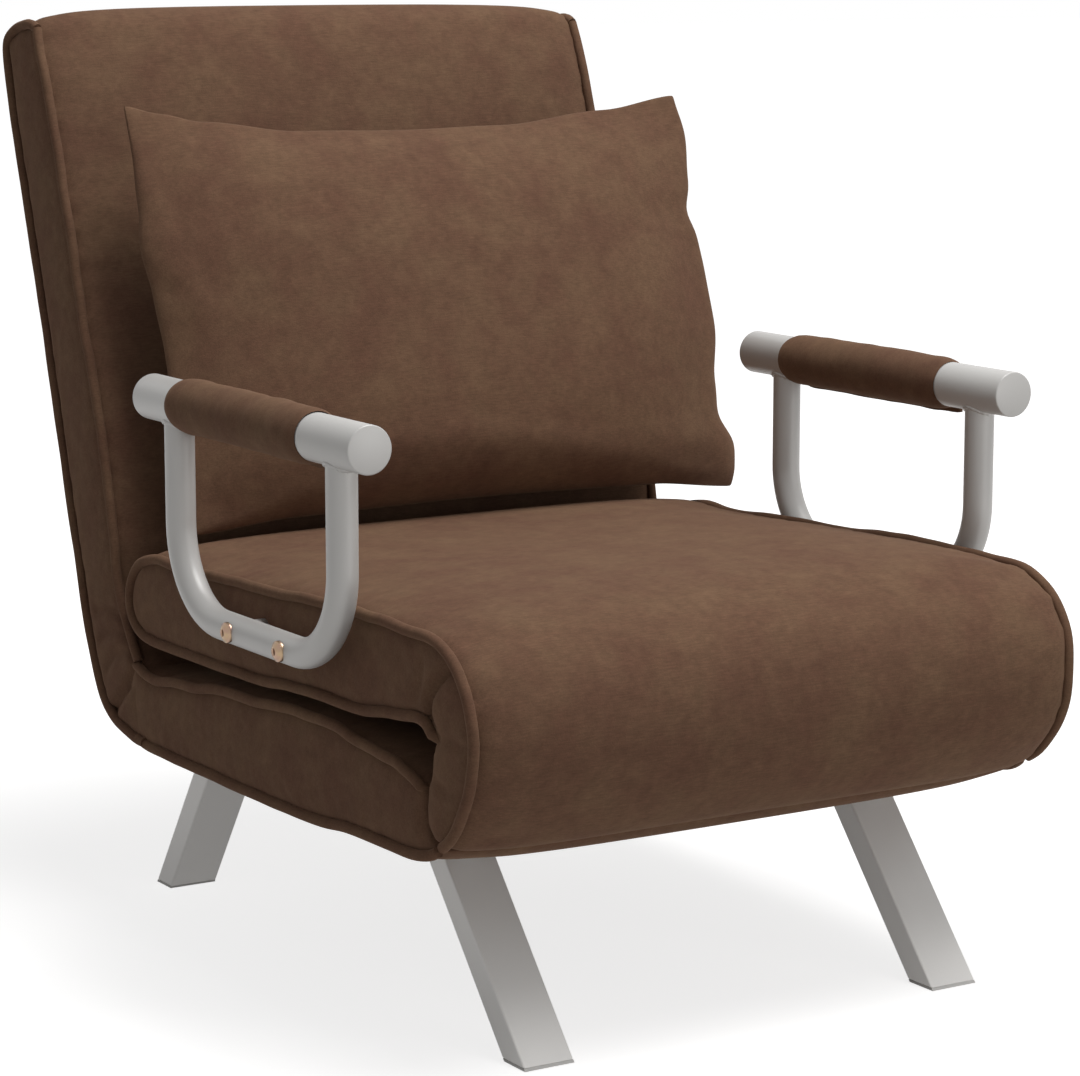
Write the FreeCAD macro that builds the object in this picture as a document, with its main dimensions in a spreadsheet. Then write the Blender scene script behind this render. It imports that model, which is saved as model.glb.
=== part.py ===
import FreeCAD, Part
import math
import os
import re

# A single chair that opens into a bed. The lower cushion stands on four splayed legs. The upper
# cushion carries both arms and turns over forwards about the crease at its front, until the arms
# stand on the floor as the legs of the bed's foot. The back reclines in steps until it lies flat.
# X runs across the chair, the sitter looks along -Y and Z is up. The origin is on the floor,
# below the middle of the chair.

V = FreeCAD.Vector
ALONG_X = FreeCAD.Rotation(V(0, 1, 0), 90)
ALONG_Y = FreeCAD.Rotation(V(1, 0, 0), -90)
UPRIGHT = FreeCAD.Rotation()

doc = FreeCAD.newDocument("chair_bed")
sheet = doc.addObject("Spreadsheet::Sheet", "Sizes")

# Every size that can be set by itself, in millimetres and degrees.
driving = {
    # cushions
    "cushion_half_width": 285,
    "fabric": 2,
    "soft_gap": 0.3,
    "cushion_edge": 2.5,
    "base_depth": 90,
    "base_front_drop": 16,
    "base_rear_drop": 18,
    "base_rear_rounding": 14,
    "seat_rise_front": 92,
    "seat_rise_rear": 84,
    "seat_rear_rounding": 40,
    "seat_rear_tuck": 20,
    "crown_setback": 232,
    "crown_rounding": 900,
    "back_thickness": 80,
    "back_length": 590,
    "back_rounding": 20,
    "back_swell": 12,
    "back_swell_low": 80,
    "back_swell_high": 170,
    "back_swell_rounding": 600,
    "nose_reach": 68,
    "nose_upper_rounding": 42,
    "nose_lower_rise": 68,
    "nose_lower_rounding": 110,
    # places of the two folds
    "fold_setback": 292,
    "fold_end_gap": 3.5,
    "seat_depth": 520,
    "seat_rear_gap": 2,
    "recline_drop": 24,
    "recline_end_gap": 12.5,
    "recline_cover": 12,
    "lean": 17.2,
    # frames inside the cushions
    "rail": 25,
    "rail_wall": 1.5,
    "rail_fit": 0.3,
    "seat_frame_side_margin": 20,
    "back_frame_side_margin": 45,
    "back_frame_reach": 560,
    "seat_frame_end_margin": 24,
    "strap_width": 40,
    "strap_thickness": 2,
    "strap_lift": 0.1,
    "seat_strap_count": 5,
    "back_strap_count": 6,
    # legs
    "leg_setback": 67,
    "leg_width": 45,
    "leg_thickness": 24,
    "leg_wall": 2,
    "foot_half_spread": 305.5,
    "front_splay": 40.5,
    "rear_splay": 34,
    "plate": 4,
    "plate_margin": 12,
    "plate_end_margin": 1,
    "leg_bolt_spread": 36,
    "leg_bolt_step": 30,
    "glide": 2,
    "glide_plug": 12,
    "glide_inset": 0.3,
    # screws and bolts
    "bolt_radius": 4,
    "bolt_head_radius": 7,
    "bolt_head": 6,
    "bolt_bite": 12,
    "screw_radius": 2.5,
    "screw_head_radius": 4.6,
    "screw_head": 3.5,
    "screw_length": 14,
    "hole_play": 0.1,
    # hinges
    "hinge_setback": 38,
    "hinge_half_width": 25,
    "hinge_screw_offset": 15,
    "leaf": 3,
    "leaf_axis_gap": 0.5,
    "leaf_margin": 6,
    "knuckle_radius": 5.5,
    "knuckle_pin": 2.5,
    "knuckle_half_width": 8.2,
    "knuckle_play": 0.3,
    "running_play": 0.05,
    "wheel_radius": 7.5,
    "tooth_depth": 1.2,
    "tooth_count": 12,
    "wheel_half_width": 3.7,
    "lug_radius": 8.5,
    "lug": 4,
    "ratchet_pin": 3,
    "ratchet_plate_top": 6,
    "ratchet_neck": 2,
    "ratchet_foam_gap": 2,
    "pawl_half_height": 2,
    "pawl_gap": 0.3,
    # arms
    "arm_side_gap": 8.6,
    "arm_height": 473.5,
    "arm_bar_radius": 19,
    "arm_bar_front": 246,
    "arm_bar_length": 369.5,
    "arm_tube_radius": 12.4,
    "arm_tube_wall": 1.5,
    "arm_tube_front": 202,
    "arm_tube_spread": 276.4,
    "arm_tube_bend": 74,
    "arm_tube_rise": 53,
    "arm_bolt_front": 118.7,
    "arm_bolt_spread": 88.2,
    "spacer_radius": 8,
    "weld_gap": 0.02,
    "overrun": 1,
    "end_cap": 1.5,
    "end_plug": 10,
    "plug_play": 0.05,
    "sleeve_front": 163.5,
    "sleeve_thickness": 3.4,
    "sleeve_play": 0.1,
    "sleeve_end_gap": 0.3,
    # loose pillow
    "pillow_half_width": 284,
    "pillow_height": 385,
    "pillow_thickness": 140,
    "pillow_shoulder": 96.25,
    "pillow_sideways": 44,
    "pillow_gap": 0.3,
}

# Places that follow from the sizes above.
derived = {
    "cover_inside": "fabric + soft_gap",
    "fold_height": "(arm_height + sleeve_outer) / 2",
    "base_bottom": "fold_height - base_depth",
    "seat_top_front": "fold_height + seat_rise_front",
    "seat_top_rear": "fold_height + seat_rise_rear",
    "recline_height": "fold_height - recline_drop",
    "leg_outer": "cushion_half_width - leg_setback",
    "base_frame_half_width": "leg_outer - leg_width / 2 + rail / 2",
    "hinge_offset": "base_frame_half_width - hinge_setback",
    "seat_frame_half_width": "cushion_half_width - seat_frame_side_margin",
    "back_frame_half_width": "cushion_half_width - back_frame_side_margin",
    "arm_offset": "cushion_half_width + arm_side_gap + arm_tube_radius",
    "arm_tube_bottom": "fold_height + arm_tube_rise",
    "sleeve_outer": "arm_bar_radius + sleeve_play + sleeve_thickness",
    "back_below": "back_thickness - recline_cover",
    "back_rear": "seat_depth - fold_setback + sin(lean) * (back_length - back_rounding)"
    " + cos(lean) * (back_below - back_rounding) + back_rounding",
    "centre_y": "(fold_setback + nose_reach - back_rear) / 2",
    "fold_y": "centre_y - fold_setback",
    "recline_y": "fold_y + seat_depth",
    "cushion_front": "fold_y + fold_end_gap",
    "base_rear": "recline_y - recline_end_gap",
    "crown_y": "fold_y + crown_setback",
    "seat_rear": "recline_y + seat_rear_gap",
    "frame_front": "cushion_front + fabric + rail_fit",
    "base_frame_bottom": "base_bottom + fabric + rail_fit",
    "base_frame_top": "base_frame_bottom + rail",
    "base_frame_middle": "base_frame_bottom + rail / 2",
    "base_frame_rear": "base_rear - fabric - rail_fit",
    "seat_frame_rear": "seat_rear - seat_frame_end_margin",
    "seat_frame_bottom": "arm_tube_bottom - rail / 2",
    "seat_frame_top": "arm_tube_bottom + rail / 2",
    "back_frame_start": "recline_end_gap + fabric + rail_fit",
    "back_frame_middle": "recline_cover - back_thickness / 2",
    "back_frame_low": "back_frame_middle - rail / 2",
    "back_frame_high": "back_frame_middle + rail / 2",
    "leg_top": "base_bottom - plate",
    "leaf_near": "fold_y + leaf_axis_gap",
    "leaf_far": "leaf_near + leaf",
    "base_plate_face": "base_rear + leaf",
    "back_plate_face": "recline_end_gap - leaf",
    "arm_rear_y": "front_upright_y + arm_tube_spread",
    "front_upright_y": "centre_y - arm_tube_front",
    "arm_bar_y": "centre_y - arm_bar_front",
    "first_arm_bolt_y": "centre_y - arm_bolt_front",
    "sleeve_front_y": "centre_y - sleeve_front",
    "sleeve_rear_y": "arm_rear_y - arm_tube_radius - sleeve_end_gap",
    "pillow_middle": "recline_cover + pillow_gap + pillow_thickness / 2",
    "pillow_start": "(seat_top_front + pillow_gap - recline_height - sin(lean) * pillow_middle)"
    " / cos(lean)",
}

row = 0
for name, entry in list(driving.items()) + list(derived.items()):
    row += 1
    sheet.set(f"A{row}", name)
    sheet.setAlias(f"B{row}", name)
row = 0
for name, entry in list(driving.items()) + list(derived.items()):
    row += 1
    sheet.set(f"B{row}", str(entry) if name in driving else "=" + entry)
doc.recompute()


def size(name):
    """One size from the sheet."""
    return float(sheet.get(name))


def bind(piece, quality, formula):
    """Tie a property to a formula in the names of the sheet."""
    piece.setExpression(quality, re.sub(r"[a-z]\w*", lambda word: "Sizes." + word.group(), formula))


def block(label, across, along, up):
    """A box between two formulas in each direction."""
    piece = doc.addObject("Part::Box", label)
    for length, axis, (low, high) in zip(("Length", "Width", "Height"), "xyz", (across, along, up)):
        bind(piece, length, f"({high}) - ({low})")
        bind(piece, f".Placement.Base.{axis}", low)
    return piece


def rod(label, turn, place, radius, length):
    """A round bar that starts at a place and runs along X, Y or Z."""
    piece = doc.addObject("Part::Cylinder", label)
    piece.Placement = FreeCAD.Placement(V(), turn)
    for axis, formula in zip("xyz", place):
        bind(piece, f".Placement.Base.{axis}", formula)
    bind(piece, "Radius", radius)
    bind(piece, "Height", length)
    return piece


def joined(label, pieces):
    piece = doc.addObject("Part::MultiFuse", label)
    piece.Shapes = pieces
    return piece


def cut(label, body, tools):
    """A piece with one tool, or several joined ones, cut away."""
    piece = doc.addObject("Part::Cut", label)
    piece.Base = body
    piece.Tool = tools[0] if len(tools) == 1 else joined(label + "_tools", tools)
    return piece


def group(label, pieces):
    """Equal separate solids under one name."""
    piece = doc.addObject("Part::Compound", label)
    piece.Links = pieces
    return piece


def rounded(corners, inset=0):
    """Lines and tangent arcs of a closed outline. A corner is its two places and its rounding."""
    ends = []
    for index, (first, second, rounding) in enumerate(corners):
        corner = V(first, second, 0)
        before = (V(*corners[index - 1][:2], 0) - corner).normalize()
        after = (V(*corners[(index + 1) % len(corners)][:2], 0) - corner).normalize()
        half = before.getAngle(after) / 2
        reach = rounding / math.tan(half)
        deep = rounding / math.sin(half) - rounding
        ends.append((corner + before * reach, corner + (before + after).normalize() * deep,
                     corner + after * reach, rounding))
    edges = []
    for index, (start, middle, end, rounding) in enumerate(ends):
        if rounding:
            edges.append(Part.Arc(start, middle, end).toShape())
        following = ends[(index + 1) % len(ends)][0]
        edges.append(Part.LineSegment(end, following).toShape())
    wire = Part.Wire(edges)
    return (wire.makeOffset2D(-inset) if inset else wire).Edges


def slab(label, corners, width, inset=0, start=None):
    """A body whose outline lies in the YZ plane, evenly across the chair or from a start in X."""
    body = doc.addObject("PartDesign::Body", label)
    plane = [face for face in body.Origin.OriginFeatures if face.Role == "YZ_Plane"][0]
    sketch = body.newObject("Sketcher::SketchObject", label + "_outline")
    sketch.AttachmentSupport = (plane, "")
    sketch.MapMode = "FlatFace"
    for edge in rounded(corners, inset):
        ends = [vertex.Point for vertex in edge.Vertexes]
        middle = edge.valueAt((edge.FirstParameter + edge.LastParameter) / 2)
        if isinstance(edge.Curve, Part.Line):
            sketch.addGeometry(Part.LineSegment(*ends))
        else:
            sketch.addGeometry(Part.Arc(ends[0], middle, ends[1]))
    pad = body.newObject("PartDesign::Pad", label + "_pad")
    pad.Profile = sketch
    bind(pad, "Length", width)
    pad.SideType = "One side" if start else "Symmetric"
    if start:
        bind(body, ".Placement.Base.x", start)
    return body


def lean_back(piece):
    """Set a piece, built flat about the recline axis, at the angle of the back."""
    piece.Placement = FreeCAD.Placement(
        V(0, size("recline_y"), size("recline_height")), FreeCAD.Rotation(V(1, 0, 0), 90 - size("lean"))
    )
    return piece


def both_sides():
    """The name and direction of each side, the sitter's left first."""
    return (("left", "1"), ("right", "-1"))


def ring(label, half_width, near, far, low, high):
    """A rectangular frame of square tube, hollow inside its rails."""

    def filled(part, depth):
        """The ring's rails, thinner by a depth on every face."""
        outer = block(f"{label}_{part}_outer", (f"{depth} - {half_width}", f"{half_width} - {depth}"),
                      (f"{near} + {depth}", f"{far} - {depth}"), (f"{low} + {depth}", f"{high} - {depth}"))
        inner = block(f"{label}_{part}_inner",
                      (f"rail - {depth} - {half_width}", f"{half_width} - rail + {depth}"),
                      (f"{near} + rail - {depth}", f"{far} - rail + {depth}"),
                      (f"{low} + {depth} - overrun", f"{high} - {depth} + overrun"))
        return cut(f"{label}_{part}", outer, [inner])

    return cut(f"{label}_rails", filled("steel", "0"), [filled("bore", "rail_wall")])


def straps(label, half_width, near, far, low, count, slack="0"):
    """Webbing strips side by side across a frame, lying on its rails."""
    pieces = []
    for index in range(int(size(count))):
        middle = f"({near}) + (({far}) - ({near})) * {index + 1} / ({count} + 1)"
        pieces.append(block(f"{label}_{index + 1}", (f"-{half_width} - {slack}", f"{half_width} + {slack}"),
                            (f"{middle} - strap_width / 2 - {slack}",
                             f"{middle} + strap_width / 2 + {slack}"),
                            (f"{low} + strap_lift - {slack}",
                             f"{low} + strap_lift + strap_thickness + {slack}")))
    return pieces


def ring_room(label, half_width, near, far, low, high):
    """The pocket that a frame needs in the foam round it."""
    outer = block(label + "_room_outer", (f"-{half_width} - soft_gap", f"{half_width} + soft_gap"),
                  (f"{near} - soft_gap", f"{far} + soft_gap"), (f"{low} - soft_gap", f"{high} + soft_gap"))
    inner = block(label + "_room_inner",
                  (f"rail + soft_gap - {half_width}", f"{half_width} - rail - soft_gap"),
                  (f"{near} + rail + soft_gap", f"{far} - rail - soft_gap"),
                  (f"{low} - soft_gap - overrun", f"{high} + soft_gap + overrun"))
    return cut(label + "_room", outer, [inner])


def cushion(name, corners, frame, strap_count, cover_holes, frame_holes, foam_holes):
    """A cushion: fabric cover, foam block, steel frame and webbing. Returns its four nodes."""
    half_width, near, far, low, high = frame
    skin = slab(name + "_skin", corners, "2 * cushion_half_width")
    hollow = slab(name + "_hollow", corners, "2 * (cushion_half_width - fabric)", size("fabric"))
    cover = cut(name + "_cover", skin, [hollow] + cover_holes)
    block_of_foam = slab(name + "_block", corners, "2 * (cushion_half_width - cover_inside)",
                         size("cover_inside"))
    room = ring_room(name, half_width, near, far, low, high)
    slots = straps(name + "_slot", half_width, near, far, high, strap_count, "soft_gap")
    foam = cut(name + "_foam", block_of_foam, [room] + slots + foam_holes)
    rails = ring(name, half_width, near, far, low, high)
    steel = cut(name + "_frame", rails, frame_holes)
    webbing = group(name + "_straps", straps(name + "_strap", half_width, near, far, high, strap_count))
    return [cover, foam, steel, webbing]


def screw(label, turn, place, radius, length, head_radius, head):
    """A plain headed screw that starts at the top of its head. Its length is counted below the head."""
    return joined(label, [rod(label + "_head", turn, place, head_radius, head),
                          rod(label + "_thread", turn, place, radius, f"{head} + {length}")])


nodes = []

# Fold hinges: two butt hinges in the front crease, one leaf on each cushion's front face.
fold_screw_places = [f"{way} * hinge_offset + {offset}" for way in ("1", "-1")
                     for offset in ("hinge_screw_offset", "-hinge_screw_offset")]


def fold_screws(label, height):
    """Countersunk screws through a leaf into the frame's front rail."""
    pieces = []
    for index, across in enumerate(fold_screw_places):
        name = f"{label}_{index + 1}"
        cone = doc.addObject("Part::Cone", name + "_head")
        cone.Placement = FreeCAD.Placement(V(), ALONG_Y)
        for axis, formula in zip("xyz", (across, "leaf_near", height)):
            bind(cone, f".Placement.Base.{axis}", formula)
        bind(cone, "Radius1", "screw_head_radius")
        bind(cone, "Radius2", "screw_radius")
        bind(cone, "Height", "leaf")
        thread = rod(name + "_thread", ALONG_Y, (across, "leaf_near", height), "screw_radius", "screw_length")
        pieces.append(joined(name, [cone, thread]))
    return group(label, pieces)


def fold_screw_holes(label, height, sunk):
    """Holes for the fold screws, with a wider mouth in the leaf."""
    pieces = []
    for index, across in enumerate(fold_screw_places):
        name = f"{label}_hole_{index + 1}"
        pieces.append(rod(name, ALONG_Y, (across, "leaf_near - overrun", height),
                          "screw_radius + hole_play", "screw_length + 2 * overrun"))
        if sunk:
            mouth = doc.addObject("Part::Cone", name + "_mouth")
            mouth.Placement = FreeCAD.Placement(V(), ALONG_Y)
            for axis, formula in zip("xyz", (across, "leaf_near", height)):
                bind(mouth, f".Placement.Base.{axis}", formula)
            bind(mouth, "Radius1", "screw_head_radius + hole_play")
            bind(mouth, "Radius2", "screw_radius + hole_play")
            bind(mouth, "Height", "leaf")
            pieces.append(mouth)
    return pieces


knuckle_clear = "knuckle_radius + leaf_axis_gap"
for side, way in both_sides():
    middle = f"{way} * hinge_offset"
    leaf_width = (f"{middle} - hinge_half_width", f"{middle} + hinge_half_width")
    leaf_depth = ("leaf_near", "leaf_far")
    bore = rod(f"fold_bore_{side}", ALONG_X, (leaf_width[0] + " - overrun", "fold_y", "fold_height"),
               "knuckle_pin + running_play", "2 * hinge_half_width + 2 * overrun")
    pieces = [block(f"fold_base_plate_{side}", leaf_width, leaf_depth,
                    ("base_bottom + leaf_margin", f"fold_height - ({knuckle_clear})"))]
    for index, (low, high) in enumerate((("-hinge_half_width", "-knuckle_half_width - knuckle_play"),
                                         ("knuckle_half_width + knuckle_play", "hinge_half_width"))):
        pieces.append(block(f"fold_base_tab_{side}_{index}", (f"{middle} + ({low})", f"{middle} + ({high})"),
                            leaf_depth, (f"fold_height - ({knuckle_clear})", "fold_height")))
        pieces.append(rod(f"fold_base_knuckle_{side}_{index}", ALONG_X,
                          (f"{middle} + ({low})", "fold_y", "fold_height"),
                          "knuckle_radius", f"({high}) - ({low})"))
    plate = joined(f"fold_base_blank_{side}", pieces)
    nodes.append(cut(f"fold_hinge_base_leaf_{side}", plate,
                     [bore] + fold_screw_holes(f"fold_base_{side}", "base_frame_middle", True)))
    pieces = [
        block(f"fold_seat_plate_{side}", leaf_width, leaf_depth,
              (f"fold_height + {knuckle_clear}", "seat_frame_top")),
        block(f"fold_seat_tab_{side}", (f"{middle} - knuckle_half_width", f"{middle} + knuckle_half_width"),
              leaf_depth, ("fold_height", f"fold_height + {knuckle_clear}")),
        rod(f"fold_seat_knuckle_{side}", ALONG_X, (f"{middle} - knuckle_half_width", "fold_y", "fold_height"),
            "knuckle_radius", "2 * knuckle_half_width"),
    ]
    plate = joined(f"fold_seat_blank_{side}", pieces)
    nodes.append(cut(f"fold_hinge_seat_leaf_{side}", plate,
                     [bore] + fold_screw_holes(f"fold_seat_{side}", "arm_tube_bottom", True)))
    nodes.append(rod(f"fold_hinge_pin_{side}", ALONG_X, (leaf_width[0], "fold_y", "fold_height"),
                     "knuckle_pin", "2 * hinge_half_width"))
nodes.append(fold_screws("fold_hinge_base_screws", "base_frame_middle"))
nodes.append(fold_screws("fold_hinge_seat_screws", "arm_tube_bottom"))

# Ratchet hinges: a toothed wheel on the back's bracket turns between two lugs of the base's bracket.
# The base's half is built where it stands, and the back's half flat about the recline axis.
for side, way in both_sides():
    middle = f"{way} * hinge_offset"
    width = (f"{middle} - hinge_half_width", f"{middle} + hinge_half_width")
    axis_y, axis_z = "recline_y", "recline_height"
    pieces = [block(f"ratchet_base_plate_{side}", width, ("base_rear", "base_plate_face"),
                    ("base_bottom + leaf_margin", f"{axis_z} + ratchet_plate_top"))]
    for index, low in enumerate((f"{middle} + wheel_half_width + knuckle_play",
                                 f"{middle} - wheel_half_width - knuckle_play - lug")):
        pieces.append(block(f"ratchet_web_{side}_{index}", (low, f"{low} + lug"),
                            ("base_plate_face", axis_y),
                            (f"{axis_z} - lug_radius", f"{axis_z} + ratchet_plate_top")))
        pieces.append(rod(f"ratchet_lug_{side}_{index}", ALONG_X, (low, axis_y, axis_z), "lug_radius", "lug"))
    pin_start = f"{middle} - wheel_half_width - knuckle_play - lug"
    pin_length = "2 * (wheel_half_width + knuckle_play + lug)"
    bore = rod(f"ratchet_base_bore_{side}", ALONG_X, (f"{pin_start} - overrun", axis_y, axis_z),
               "ratchet_pin + running_play", f"{pin_length} + 2 * overrun")
    holes = [rod(f"ratchet_base_hole_{side}_{index}", ALONG_Y,
                 (f"{middle} + ({offset})", "base_rear - overrun", "base_frame_middle"),
                 "screw_radius + hole_play", "leaf + 2 * overrun")
             for index, offset in enumerate(("hinge_screw_offset", "-hinge_screw_offset"))]
    blank = joined(f"ratchet_base_blank_{side}", pieces)
    nodes.append(cut(f"ratchet_base_bracket_{side}", blank, [bore] + holes))
    nodes.append(rod(f"ratchet_pin_{side}", ALONG_X, (pin_start, axis_y, axis_z), "ratchet_pin", pin_length))
    nodes.append(block(f"ratchet_pawl_{side}", (f"{middle} - wheel_half_width", f"{middle} + wheel_half_width"),
                       ("base_plate_face", f"{axis_y} - wheel_radius - pawl_gap"),
                       (f"{axis_z} - pawl_half_height", f"{axis_z} + pawl_half_height")))
    teeth = []
    for index in range(2 * int(size("tooth_count"))):
        reach = size("wheel_radius") - (size("tooth_depth") if index % 2 else 0)
        angle = math.pi * index / size("tooth_count")
        teeth.append((reach * math.cos(angle), reach * math.sin(angle), 0))
    wheel = slab(f"ratchet_wheel_{side}", teeth, "2 * wheel_half_width", 0, f"{middle} - wheel_half_width")
    pieces = [
        wheel,
        block(f"ratchet_arm_{side}", (f"{middle} - wheel_half_width", f"{middle} + wheel_half_width"),
              ("ratchet_pin + ratchet_neck", "back_plate_face"), ("-ratchet_plate_top", "ratchet_plate_top")),
        block(f"ratchet_back_plate_{side}", width, ("back_plate_face", "recline_end_gap"),
              ("back_frame_low - leaf_margin", "ratchet_plate_top")),
    ]
    bore = rod(f"ratchet_back_bore_{side}", ALONG_X, (f"{middle} - wheel_half_width - overrun", "0", "0"),
               "ratchet_pin + running_play", "2 * wheel_half_width + 2 * overrun")
    holes = [rod(f"ratchet_back_hole_{side}_{index}", ALONG_Y,
                 (f"{middle} + ({offset})", "back_plate_face - overrun", "back_frame_middle"),
                 "screw_radius + hole_play", "leaf + 2 * overrun")
             for index, offset in enumerate(("hinge_screw_offset", "-hinge_screw_offset"))]
    nodes.append(lean_back(cut(f"ratchet_back_bracket_{side}",
                               joined(f"ratchet_back_blank_{side}", pieces), [bore] + holes)))

TOWARDS_FRONT = FreeCAD.Rotation(V(1, 0, 0), 90)
base_screws = []
back_screws = []
base_screw_holes = []
back_screw_holes = []
for index, across in enumerate(fold_screw_places):
    base_screws.append(screw(
        f"ratchet_base_screw_{index + 1}", TOWARDS_FRONT,
        (across, "base_plate_face + screw_head", "base_frame_middle"),
        "screw_radius", "screw_length", "screw_head_radius", "screw_head"))
    base_screw_holes.append(rod(f"base_rear_hole_{index + 1}", TOWARDS_FRONT,
                                (across, "base_plate_face + overrun", "base_frame_middle"),
                                "screw_radius + hole_play", "screw_length + 2 * overrun"))
    back_screws.append(screw(
        f"ratchet_back_screw_{index + 1}", ALONG_Y,
        (across, "back_plate_face - screw_head", "back_frame_middle"),
        "screw_radius", "screw_length", "screw_head_radius", "screw_head"))
    back_screw_holes.append(rod(f"back_end_hole_{index + 1}", ALONG_Y,
                                (across, "back_plate_face - overrun", "back_frame_middle"),
                                "screw_radius + hole_play", "screw_length + 2 * overrun"))
nodes.append(group("ratchet_base_screws", base_screws))
nodes.append(lean_back(group("ratchet_back_screws", back_screws)))

# Legs: flat steel tube, splayed to the front and to the rear, welded to a plate under the base.
def slanted(label, foot, way, splay, thickness, across, low, high):
    """A length of leg between two heights. It leans towards the middle of the chair."""
    rise = math.tan(math.radians(splay))
    half = thickness / 2 / math.cos(math.radians(splay))
    corners = []
    for height, edge in ((low, -half), (low, half), (high, half), (high, -half)):
        corners.append((foot - way * rise * height + edge, height, 0))
    return slab(label, corners, f"({across[1]}) - ({across[0]})", 0, across[0])


glides = []
leg_bolts = []
leg_bolt_holes = []
for end, way in (("front", -1), ("rear", 1)):
    foot = size("centre_y") + way * size("foot_half_spread")
    splay = size(end + "_splay")
    top_y = foot - way * size("leg_top") * math.tan(math.radians(splay))
    for side, direction in both_sides():
        name = f"{end}_{side}"
        first, second = ("leg_outer - leg_width", "leg_outer") if side == "left" else (
            "-leg_outer", "leg_width - leg_outer")
        tube = slanted(f"leg_tube_{name}", foot, way, splay, size("leg_thickness"),
                       (first, second), size("glide"), size("leg_top"))
        bore = slanted(f"leg_bore_{name}", foot, way, splay, size("leg_thickness") - 2 * size("leg_wall"),
                       (f"{first} + leg_wall", f"{second} - leg_wall"),
                       size("glide") - size("overrun"), size("leg_top"))
        wall = cut(f"leg_wall_{name}", tube, [bore])
        spread = size("leg_bolt_spread")
        bolt_places = (-spread, spread) if end == "front" else (-spread - size("leg_bolt_step"), -spread)
        plate_front = top_y + bolt_places[0] - size("plate_margin")
        plate_rear = top_y + spread + size("plate_margin")
        if end == "rear":
            plate_rear = size("base_rear") - size("plate_end_margin")
        top = doc.addObject("Part::Box", f"leg_plate_{name}")
        bind(top, "Length", "leg_width")
        top.Width = plate_rear - plate_front
        bind(top, "Height", "plate")
        bind(top, ".Placement.Base.x", first)
        top.Placement.Base.y = plate_front
        bind(top, ".Placement.Base.z", "leg_top")
        holes = []
        for number, offset in enumerate(bolt_places):
            middle = f"({first}) + leg_width / 2"
            bolt_y = f"{top_y + offset:.6f}"
            leg_bolts.append(screw(f"leg_bolt_{name}_{number}", UPRIGHT,
                                   (middle, bolt_y, "leg_top - bolt_head"),
                                   "bolt_radius", "bolt_bite + plate", "bolt_head_radius", "bolt_head"))
            hole = rod(f"leg_bolt_hole_{name}_{number}", UPRIGHT, (middle, bolt_y, "leg_top - overrun"),
                       "bolt_radius + hole_play", "bolt_bite + plate + 2 * overrun")
            holes.append(hole)
            leg_bolt_holes.append(hole)
        blank = joined(f"leg_blank_{name}", [wall, top])
        nodes.append(cut(f"leg_{name}", blank, holes))
        sole = slanted(f"glide_sole_{name}", foot, way, splay, size("leg_thickness") - 2 * size("glide_inset"),
                       (f"{first} + glide_inset", f"{second} - glide_inset"), 0, size("glide"))
        plug_wall = size("leg_wall") + size("running_play")
        plug = slanted(f"glide_plug_{name}", foot, way, splay, size("leg_thickness") - 2 * plug_wall,
                       (f"{first} + leg_wall + running_play", f"{second} - leg_wall - running_play"),
                       size("glide") - size("overrun"), size("glide") + size("glide_plug"))
        glides.append(joined(f"glide_{name}", [sole, plug]))
nodes.append(group("leg_glides", glides))
nodes.append(group("leg_bolts", leg_bolts))

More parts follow.
